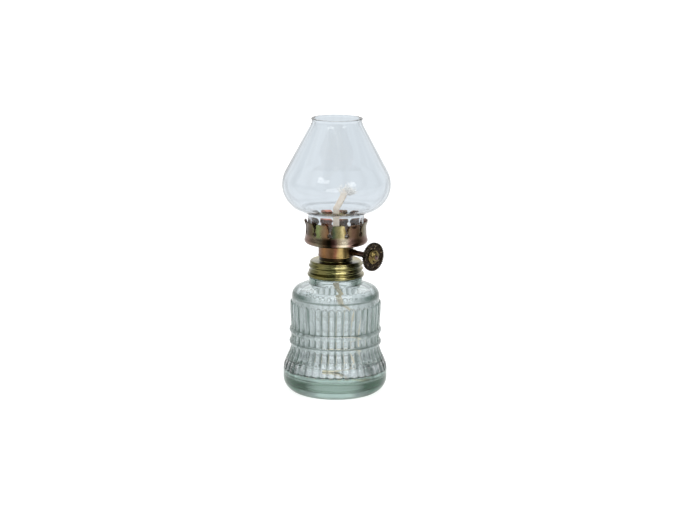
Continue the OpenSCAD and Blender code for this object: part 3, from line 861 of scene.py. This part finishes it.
# ---------------------------------------------------------------- the gallery and its prongs
# the prongs' tints by angle, with a painted highlight in the pale gold band near the facing direction
# and patches of painted reflection round it
prong_tints_and_painted_light = [
    (0.0, PINK), (0.05, ROSE), (0.1, RUSSET), (0.13, LICHEN), (0.22, COCOA), (0.31, UMBER),
    (0.36, DRAB), (0.4, GREEN), (0.43, KHAKI), (0.455, CINNAMON), (0.47, UMBER),
    (0.485, TEAL), (0.52, SAGE), (0.535, PALE_GOLD), (0.55, BRONZE), (0.57, KHAKI),
    (0.59, COCOA), (0.63, UMBER), (0.655, DRAB), (0.69, ASH), (0.8, DUSK), (0.89, COCOA),
    (0.95, CINNAMON), (1.0, PINK)]
# the gallery's lower band: tints with painted reflections, a cream highlight where it mirrors the
# bright floor and black where it mirrors dark surroundings
skirt_tints_and_painted_reflections = [
    (0.0, MAUVE), (0.31, DUSK), (0.41, ASH), (0.435, UMBER), (0.455, BLACK), (0.47, BLACK),
    (0.485, PLUM), (0.5, DUSK), (0.52, BUFF), (0.535, CREAM), (0.55, CREAM), (0.57, BLUSH),
    (0.6, COCOA), (0.63, UMBER), (0.72, DUSK), (1.0, MAUVE)]
gallery_metal = plated("gallery_metal", prong_tints_and_painted_light, 0.03, mottle=330,
                       other=(skirt_tints_and_painted_reflections, gallery_z + 5.4, gallery_z + 3.4))
EYE_Z, EYE_R, TIP_DROP = 5.8, 1.25, 0.9
SLIT, FLARE, FLARE_Z, FLARE_H, TIP_ROUND = 0.45, 0.85, 7.8, 3.1, 1.2
FLOOR_R, FLOOR_ROUND = 14.3, 1.2  # the gallery's flat floor, and the round up to its wall
wall_line = curve_through([(FLOOR_R + FLOOR_ROUND, 1.3), (14.97, 3.6), (14.8, 6.6), (14.88, 9.7),
                           (gallery_high.x, gallery_h)], 12)


def wall_r(z):
    """Outside radius of the gallery's wall, z above its underside."""
    if z < FLOOR_ROUND:
        return FLOOR_R + math.sqrt(max(0, FLOOR_ROUND ** 2 - (FLOOR_ROUND - z) ** 2))
    for a, b in zip(wall_line, wall_line[1:]):
        if z <= b[1]:
            return a[0] + (b[0] - a[0]) * max(0, z - a[1]) / (b[1] - a[1])
    return wall_line[-1][0]


def half_slot(z):
    """Half the width of the gap between two prongs at a height: an eye, then a flaring slot."""
    if z <= EYE_Z - EYE_R:
        return 0
    eye = math.sqrt(max(0, EYE_R ** 2 - (z - EYE_Z) ** 2))
    if z < EYE_Z:
        return eye
    slit = SLIT + FLARE * min(1, max(0, (z - FLARE_Z) / FLARE_H))
    tip = max(0, z - gallery_h + TIP_ROUND) / (TIP_ROUND + 0.02)
    return max(eye, slit + TIP_ROUND * (1 - math.sqrt(max(0, 1 - tip ** 2))))


def shorter(z):
    """Draws the prongs in above their eyes, so that they end TIP_DROP lower than in the CAD."""
    if z < EYE_Z:
        return z
    return z - TIP_DROP * (z - EYE_Z) / (gallery_h - EYE_Z)


def prongs():
    """The gallery's wall as one sheet, a prong at a time; rows are heights above its underside."""
    steps = [math.cos(math.radians(15 * k)) for k in range(12)]
    rows = [FLOOR_ROUND - FLOOR_ROUND * step for step in steps[:7]]
    rows += [1.8, 2.6, 3.4, 4.1] + [EYE_Z - EYE_R * step for step in steps]
    rows += [7.3 + 0.6 * k for k in range(6)]
    rows += [gallery_h - down for down in (1.3, 1.1, 0.85, 0.6, 0.4, 0.25, 0.14, 0.05, 0)]
    columns, pitch = 18, TAU / prong_count
    rng = random.Random(5)
    verts, faces = [], []
    for i in range(prong_count):
        spread, twist = rng.uniform(0.05, 0.22), rng.uniform(-0.12, 0.12)
        base = len(verts)
        for z in rows:
            r, h = wall_r(z), half_slot(z)
            top = smooth((z - 8.5) / 3.5)
            for k in range(columns + 1):
                t = k / columns
                a = slot_turn + pitch * i + h / r + (pitch - 2 * h / r) * t
                out = r + top * (spread + twist * (2 * t - 1) - 0.25 * (2 * t - 1) ** 2 * spread)
                verts.append((out * math.cos(a), out * math.sin(a), gallery_z + shorter(z)))
        for j in range(len(rows) - 1):
            for k in range(columns):
                q = base + j * (columns + 1) + k
                faces.append((q, q + 1, q + columns + 2, q + columns + 1))
    return verts, faces


def thicken(piece, thickness, bevel):
    """Gives an open sheet its thickness, inwards, and eases its edges."""
    solid = piece.modifiers.new("sheet", "SOLIDIFY")
    solid.thickness, solid.offset, solid.use_even_offset = thickness * MM, -1, True
    edge = piece.modifiers.new("edge", "BEVEL")
    edge.width, edge.segments, edge.limit_method = bevel * MM, 2, "ANGLE"
    edge.angle_limit = math.radians(50)
    edge.harden_normals = False
    return piece


gallery = thicken(make("gallery_prongs", prongs(), gallery_metal, 50), sheet_t, 0.1)
dress(gallery, "burner", "gallery_metal", "gallery")


def pierced_floor():
    """The gallery's floor: an oblong hole for the wick tube and a ring of air holes."""
    holes, side = 12, 4
    inner, outer, hole_r, hole_ring_r, hole_dip = 6.0, FLOOR_R + 0.05, 1.0, 10.98, 0.12
    slot_half, slot_round = 1.5, 1.35  # the oblong hole's straight half, and its round ends
    flat = gallery_z + sheet_t
    verts, faces = [], []
    n = holes * side
    for t in (0, 0.5, 1):  # from the tube's oblong hole to a circle
        for k in range(n):
            a = TAU * k / n
            slot_x = max(-slot_half, min(slot_half, 3.2 * math.cos(a)))
            near = Vector((slot_x + slot_round * math.cos(a), slot_round * math.sin(a)))
            far = Vector((inner * math.cos(a), inner * math.sin(a)))
            verts.append((*near.lerp(far, t), flat))
    for t in range(2):
        for k in range(n):
            m = (k + 1) % n
            faces.append((t * n + k, t * n + m, (t + 1) * n + m, (t + 1) * n + k))
    for i in range(holes):
        a0, a1 = TAU * i / holes, TAU * (i + 1) / holes
        edge = [(inner, a0 + (a1 - a0) * k / side) for k in range(side)]
        edge += [(inner + (outer - inner) * k / side, a1) for k in range(side)]
        edge += [(outer, a1 + (a0 - a1) * k / side) for k in range(side)]
        edge += [(outer + (inner - outer) * k / side, a0) for k in range(side)]
        ring = [Vector((r * math.cos(a), r * math.sin(a))) for r, a in edge]
        mid = (a0 + a1) / 2
        centre = Vector((hole_ring_r * math.cos(mid), hole_ring_r * math.sin(mid)))
        base = len(verts)
        for t in (0, 0.45, 0.8, 1):
            for p in ring:
                on_hole = centre + (p - centre).normalized() * hole_r
                verts.append((*p.lerp(on_hole, t), flat - hole_dip * (t == 1)))
        size = len(ring)
        for t in range(3):
            for k in range(size):
                m = (k + 1) % size
                q = base + t * size
                faces.append((q + k, q + m, q + size + m, q + size + k))
    return verts, faces


floor_film = tints((0.2, 96, 70, 54), (0.45, 150, 118, 76), (0.6, 110, 112, 84), (0.8, 140, 92, 70))
floor_metal = plated("gallery_floor_metal", floor_film, round_axis=False)
gallery_floor = thicken(make("gallery_floor", pierced_floor(), floor_metal, 50), 0.35, 0.05)
dress(gallery_floor, "burner", "gallery_metal")

# ---------------------------------------------------------------- knob and its cap
knob_film = tints((0.35, 12, 10, 8), (0.48, 58, 48, 38), (0.56, 22, 18, 15), (0.68, 150, 134, 108))
knob_metal = plated("knob_metal", knob_film, round_axis=False, roughness=(0.16, 0.4), shade=0.35,
                    mottle=1100)


def milled(r, x, a):
    """Teeth round the rim, and their flutes running in over its front."""
    u = abs((a * knob_teeth / TAU) % 1 - 0.5) * 2  # 1 in the gap between teeth
    gap = smooth(1.25 * u - 0.2)
    at_rim = smooth((r - knob_r + 1.0) / 0.8)
    at_front = smooth((x - 1.1) / 0.4) * smooth((r - 5.9) / 0.5)
    return r - 0.5 * gap * at_rim, x - 0.22 * gap * at_front


# outlines of the knob and its cap: radius, distance along the spindle and rounding
knob_line = rounded([
    (knob_bore_r, 0), (4.2, 0, 0.3), (4.6, 0.2, 0.3), (6.3, 0.2, 0.3), (knob_r, 0, 0.2),
    (knob_r, 0.9), (knob_r, 1.6, 0.25), (6.05, 1.6, 0.3), (5.65, 0.95, 0.3), (4.4, 0.95, 0.2),
    (3.9, 0.8, 0.2), (knob_bore_r, 0.8)], 5)
knob = make("knob_milled", on_spindle(lathe(knob_line, knob_teeth * 8, milled), knob_low.x),
            knob_metal, 50)
dress(knob, "spindle", "knob_metal", "knob")

boss_film = tints((0.3, 64, 50, 28), (0.48, 132, 118, 74), (0.6, 96, 76, 46), (0.7, 140, 120, 86))
boss_metal = plated("boss_metal", boss_film, round_axis=False, roughness=(0.1, 0.24), mottle=380)
boss_h = boss_high.x - boss_low.x
boss_line = rounded([
    (knob_bore_r, 0), (3.6, 0, 0.1), (3.6, 0.45, 0.25), (3.05, 0.62, 0.2), (2.75, 0.5, 0.2),
    (2.35, 0.95, 0.3), (1.95, 1.75, 0.3), (1.55, boss_h, 0.25), (1.2, boss_h, 0.2),
    (knob_bore_r, boss_h - 0.3)], 5)
boss = make("knob_cap", on_spindle(lathe(boss_line, 96), boss_low.x), boss_metal, 50)
dress(boss, "spindle", "boss_metal", "knob_boss")

# ---------------------------------------------------------------- the spindle's sleeve
spindle_film = tints((0.3, 74, 58, 52), (0.45, 128, 104, 100), (0.6, 92, 74, 74), (0.7, 150, 128, 118))
spindle_metal = plated("spindle_metal", spindle_film, round_axis=False, roughness=(0.2, 0.4))
sleeve_end, flange_r, flange_x = knob_low.x + 0.02, sleeve_r + 0.5, knob_low.x - 0.5
sleeve_line = rounded([
    (sleeve_bore_r, bush_high.x + 0.5), (sleeve_r, bush_high.x + 0.5, 0.2),
    (sleeve_r, flange_x - 0.4), (flange_r, flange_x, 0.2), (flange_r, sleeve_end),
    (sleeve_bore_r, sleeve_end)])
sleeve = make("spindle_sleeve", on_spindle(lathe(sleeve_line, 64), 0), spindle_metal, 50)
dress(sleeve, "spindle", "spindle_metal")


# ---------------------------------------------------------------- finishes of the CAD nodes
def fibre_washer():
    """Dark pressed fibre."""
    s = Shader("washer")
    fibre = s.noise(s.place(), 800, 5.0, 0.7)
    return s.end(s.add("BsdfPrincipled", {
        "Base Color": s.ramp(fibre, tints((0.3, 48, 44, 42), (0.7, 84, 76, 70))),
        "Roughness": 0.85, "Normal": s.bump(fibre, 0.5, 0.00008)}).outputs[0])


bush_film = tints((0.3, 84, 66, 40), (0.5, 124, 104, 64), (0.7, 66, 50, 34))
bush_metal = plated("bush_metal", bush_film, round_axis=False, roughness=(0.25, 0.45))
tube_film = tints((0.2, 150, 122, 72), (0.45, 186, 160, 102), (0.6, 128, 112, 78), (0.8, 150, 110, 74))
tube_metal = plated("tube_metal", tube_film, round_axis=False)

for name, finish in (("spindle", spindle_metal), ("wick_tube", tube_metal),
                     ("spindle_bush", bush_metal), ("wick_sprockets", boss_metal),
                     ("neck_gasket", fibre_washer())):
    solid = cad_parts[name].data
    solid.materials.clear()
    solid.materials.append(finish)


# ---------------------------------------------------------------- floor, world and lamps
def seen_through_glass(s, where, level):
    """What the glass looks out on: a pale grey studio with a narrow dark card every 45 degrees."""
    part = s.add("SeparateXYZ", {0: where}).outputs
    cards = s.math("COSINE", s.times(s.math("ARCTAN2", part["Y"], part["X"]), 8.0))
    open_space = s.times(s.math("ADD", cards, 1.0), 0.5)
    pale = s.mix(1.0, grey((0.80, 0.86, 0.91)), level, "MULTIPLY")
    return s.mix(s.ramp(open_space, [(0.08, 0.5), (0.4, 0.0)]), pale, grey(0.12))


def pale_floor():
    """A floor that the camera sees near white, and the glass sees as the studio, with a painted shadow
    right under the lamp.
    """
    s = Shader("floor")
    where = s.add("TexCoord").outputs["Object"]
    far = s.add("VectorMath", {0: where}, operation="LENGTH").outputs["Value"]
    path = s.add("LightPath").outputs
    seen = s.times(path["Is Camera Ray"], s.ramp(far, [(0.12, 0.62), (0.9, 1.0)]))
    seen = s.multiply_add(path["Is Glossy Ray"], 0.5, seen)
    lit = s.add("AddShader", {
        0: s.add("Emission", {"Strength": s.math("ADD", seen, 0.06)}).outputs[0],
        1: s.add("BsdfDiffuse", {"Color": grey(0.5)}).outputs[0]}).outputs[0]
    # painted shadow: what the glass sees of the floor darkens right under the lamp
    under = s.ramp(far, [(0.018, 0.5), (0.06, 0.9)])
    through = s.add("Emission", {"Color": seen_through_glass(s, where, under)}).outputs[0]
    return s.end(s.add("MixShader", {
        0: path["Is Transmission Ray"], 1: lit, 2: through}).outputs[0])


def studio():
    """A soft room, brighter behind the lamp and white to the camera."""
    s = Shader("studio", world=True)
    direction = s.add("TexCoord").outputs["Generated"]
    height = s.add("SeparateXYZ", {0: direction}).outputs["Z"]
    path = s.add("LightPath").outputs
    behind = s.add("VectorMath", {0: direction, 1: (-math.sin(AZIMUTH), math.cos(AZIMUTH), 0)},
                   operation="DOT_PRODUCT").outputs["Value"]
    level = s.ramp(height, [(0.0, 1.0), (0.3, 0.97), (0.6, 1.0), (1.0, 1.0)])
    through = seen_through_glass(s, direction, level)
    room = s.ramp(s.multiply_add(behind, 0.5, 0.5), [
        (0.0, 0.42), (0.35, 0.3), (0.6, 0.34), (0.8, 1.0), (1.0, 1.0)])
    colour = s.mix(path["Is Transmission Ray"], room, through)
    colour = s.mix(path["Is Camera Ray"], colour, grey(1.0))
    return s.end(s.add("Background", {"Color": colour, "Strength": 1.0}).outputs[0])


FLOOR_GAP = 0.00005  # keeps the floor off the underside of the foot
bpy.ops.mesh.primitive_plane_add(size=30, location=(0, 0, -FLOOR_GAP))
ground = bpy.context.object
ground.name = "ground"
ground.data.materials.append(pale_floor())
bpy.context.scene.world = studio()


def lamp(name, turn, elevation, distance, size, power):
    """A softbox that faces the oil lamp: degrees round from the camera and up, metres, watts."""
    light = bpy.data.lights.new(name, "AREA")
    light.shape = "RECTANGLE"
    light.size, light.size_y = size
    light.energy = power
    a, e = AZIMUTH + math.radians(turn), math.radians(elevation)
    centre = Vector((0, 0, 0.07))
    place = centre + distance * Vector((math.sin(a) * math.cos(e), -math.cos(a) * math.cos(e),
                                        math.sin(e)))
    box = bpy.data.objects.new(name, light)
    bpy.context.scene.collection.objects.link(box)
    box.matrix_world = (Matrix.Translation(place)
                        @ (centre - place).to_track_quat("-Z", "Y").to_matrix().to_4x4())
    box.visible_camera = False
    box.visible_transmission = False


lamp("soft_box", 25, 74, 1.1, (0.9, 0.75), 6.4)
lamp("key", 34, 28, 1.1, (0.3, 0.34), 1.2)
lamp("window", -31, 37, 1.1, (0.44, 0.27), 1.3)
lamp("fill", -70, 35, 1.4, (1.2, 1.2), 3.8)
lamp("back", 180, 40, 1.4, (1.0, 0.7), 3)
